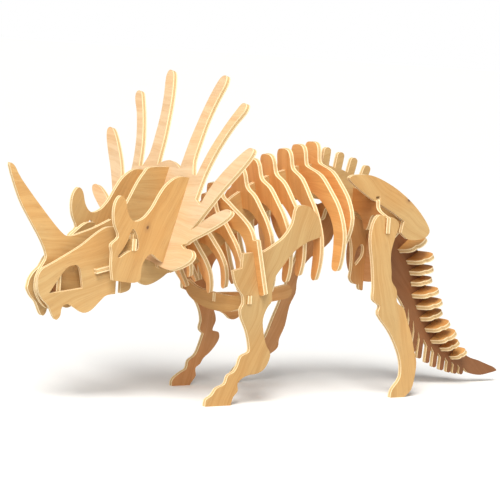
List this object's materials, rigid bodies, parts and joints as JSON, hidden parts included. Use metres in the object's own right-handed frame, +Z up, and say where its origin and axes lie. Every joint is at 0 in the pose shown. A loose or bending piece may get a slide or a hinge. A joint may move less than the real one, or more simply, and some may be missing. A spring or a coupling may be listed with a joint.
{
  "type": "wooden 3d jigsaw model",
  "caption": "Slot-together plywood skeleton of a horned, frilled dinosaur that stands on its own four feet.",
  "frame": {"origin": "on the ground, under the middle of the model's length and width", "axes": "+X from head to tail, +Y to the animal's right side, +Z up"},
  "size_m": [0.3729, 0.158, 0.1936],
  "materials": {
    "plywood": "bare sanded plywood"
  },
  "bodies": {
    "torso": {"neck_link_left": "plywood", "neck_link_right": "plywood", "backbone": "plywood", "chest_cross": "plywood", "sternum": "plywood", "hip_cross": "plywood", "hip_rear_cross": "plywood", "ilium_left": "plywood", "ilium_right": "plywood", "pubis": "plywood", "pubis_cross": "plywood"},
    "head": {"skull_center": "plywood", "skull_left": "plywood", "skull_right": "plywood", "cheek_left": "plywood", "cheek_right": "plywood", "snout_cross": "plywood", "jaw_cross": "plywood", "brow_cross": "plywood", "throat_cross": "plywood"},
    "frill": {"frill": "plywood"},
    "tail": {"tail_plate": "plywood", "tail_ring_1": "plywood", "tail_ring_2": "plywood", "tail_ring_3": "plywood", "tail_ring_4": "plywood", "tail_ring_5": "plywood", "tail_ring_6": "plywood", "tail_ring_7": "plywood", "tail_ring_8": "plywood", "tail_ring_9": "plywood", "tail_ring_10": "plywood", "tail_ring_11": "plywood"},
    "front_leg_left": {"front_leg_left": "plywood"},
    "front_leg_right": {"front_leg_right": "plywood"},
    "hind_leg_left": {"hind_leg_left": "plywood"},
    "hind_leg_right": {"hind_leg_right": "plywood"},
    "neck_rib_1": {"neck_rib_1": "plywood"},
    "neck_rib_2": {"neck_rib_2": "plywood"},
    "rib_1": {"rib_1": "plywood"},
    "rib_2": {"rib_2": "plywood"},
    "rib_3": {"rib_3": "plywood"},
    "rib_4": {"rib_4": "plywood"},
    "rib_5": {"rib_5": "plywood"},
    "rib_6": {"rib_6": "plywood"},
    "rib_7": {"rib_7": "plywood"},
    "rib_8": {"rib_8": "plywood"},
    "rib_9": {"rib_9": "plywood"}
  },
  "joints": [
    {"name": "head_pull", "type": "slide", "parent": "torso", "child": "head", "axis": [-1, 0, 0], "range_m": [0, 0.02]},
    {"name": "frill_lift", "type": "slide", "parent": "head", "child": "frill", "axis": [0.279, 0, 0.9603], "range_m": [0, 0.03]},
    {"name": "tail_pull", "type": "slide", "parent": "torso", "child": "tail", "axis": [1, 0, 0], "range_m": [0, 0.015]},
    {"name": "front_leg_left_pull", "type": "slide", "parent": "torso", "child": "front_leg_left", "axis": [0, -1, 0], "range_m": [0, 0.01]},
    {"name": "front_leg_right_pull", "type": "slide", "parent": "torso", "child": "front_leg_right", "axis": [0, 1, 0], "range_m": [0, 0.01]},
    {"name": "hind_leg_left_pull", "type": "slide", "parent": "torso", "child": "hind_leg_left", "axis": [0, -1, 0], "range_m": [0, 0.01]},
    {"name": "hind_leg_right_pull", "type": "slide", "parent": "torso", "child": "hind_leg_right", "axis": [0, 1, 0], "range_m": [0, 0.01]},
    {"name": "neck_rib_1_lift", "type": "slide", "parent": "torso", "child": "neck_rib_1", "axis": [-0.342, 0, 0.9397], "range_m": [0, 0.012]},
    {"name": "neck_rib_2_lift", "type": "slide", "parent": "torso", "child": "neck_rib_2", "axis": [-0.342, 0, 0.9397], "range_m": [0, 0.014]},
    {"name": "rib_1_lift", "type": "slide", "parent": "torso", "child": "rib_1", "axis": [-0.3256, 0, 0.9455], "range_m": [0, 0.018]},
    {"name": "rib_2_lift", "type": "slide", "parent": "torso", "child": "rib_2", "axis": [-0.2756, 0, 0.9613], "range_m": [0, 0.018]},
    {"name": "rib_3_lift", "type": "slide", "parent": "torso", "child": "rib_3", "axis": [-0.2419, 0, 0.9703], "range_m": [0, 0.04]},
    {"name": "rib_4_lift", "type": "slide", "parent": "torso", "child": "rib_4", "axis": [-0.2079, 0, 0.9781], "range_m": [0, 0.018]},
    {"name": "rib_5_lift", "type": "slide", "parent": "torso", "child": "rib_5", "axis": [-0.2079, 0, 0.9781], "range_m": [0, 0.018]},
    {"name": "rib_6_lift", "type": "slide", "parent": "torso", "child": "rib_6", "axis": [-0.1908, 0, 0.9816], "range_m": [0, 0.018]},
    {"name": "rib_7_lift", "type": "slide", "parent": "torso", "child": "rib_7", "axis": [-0.165, 0, 0.9863], "range_m": [0, 0.018]},
    {"name": "rib_8_lift", "type": "slide", "parent": "torso", "child": "rib_8", "axis": [-0.1132, 0, 0.9936], "range_m": [0, 0.018]},
    {"name": "rib_9_lift", "type": "slide", "parent": "torso", "child": "rib_9", "axis": [-0.0436, 0, 0.999], "range_m": [0, 0.018]}
  ]
}
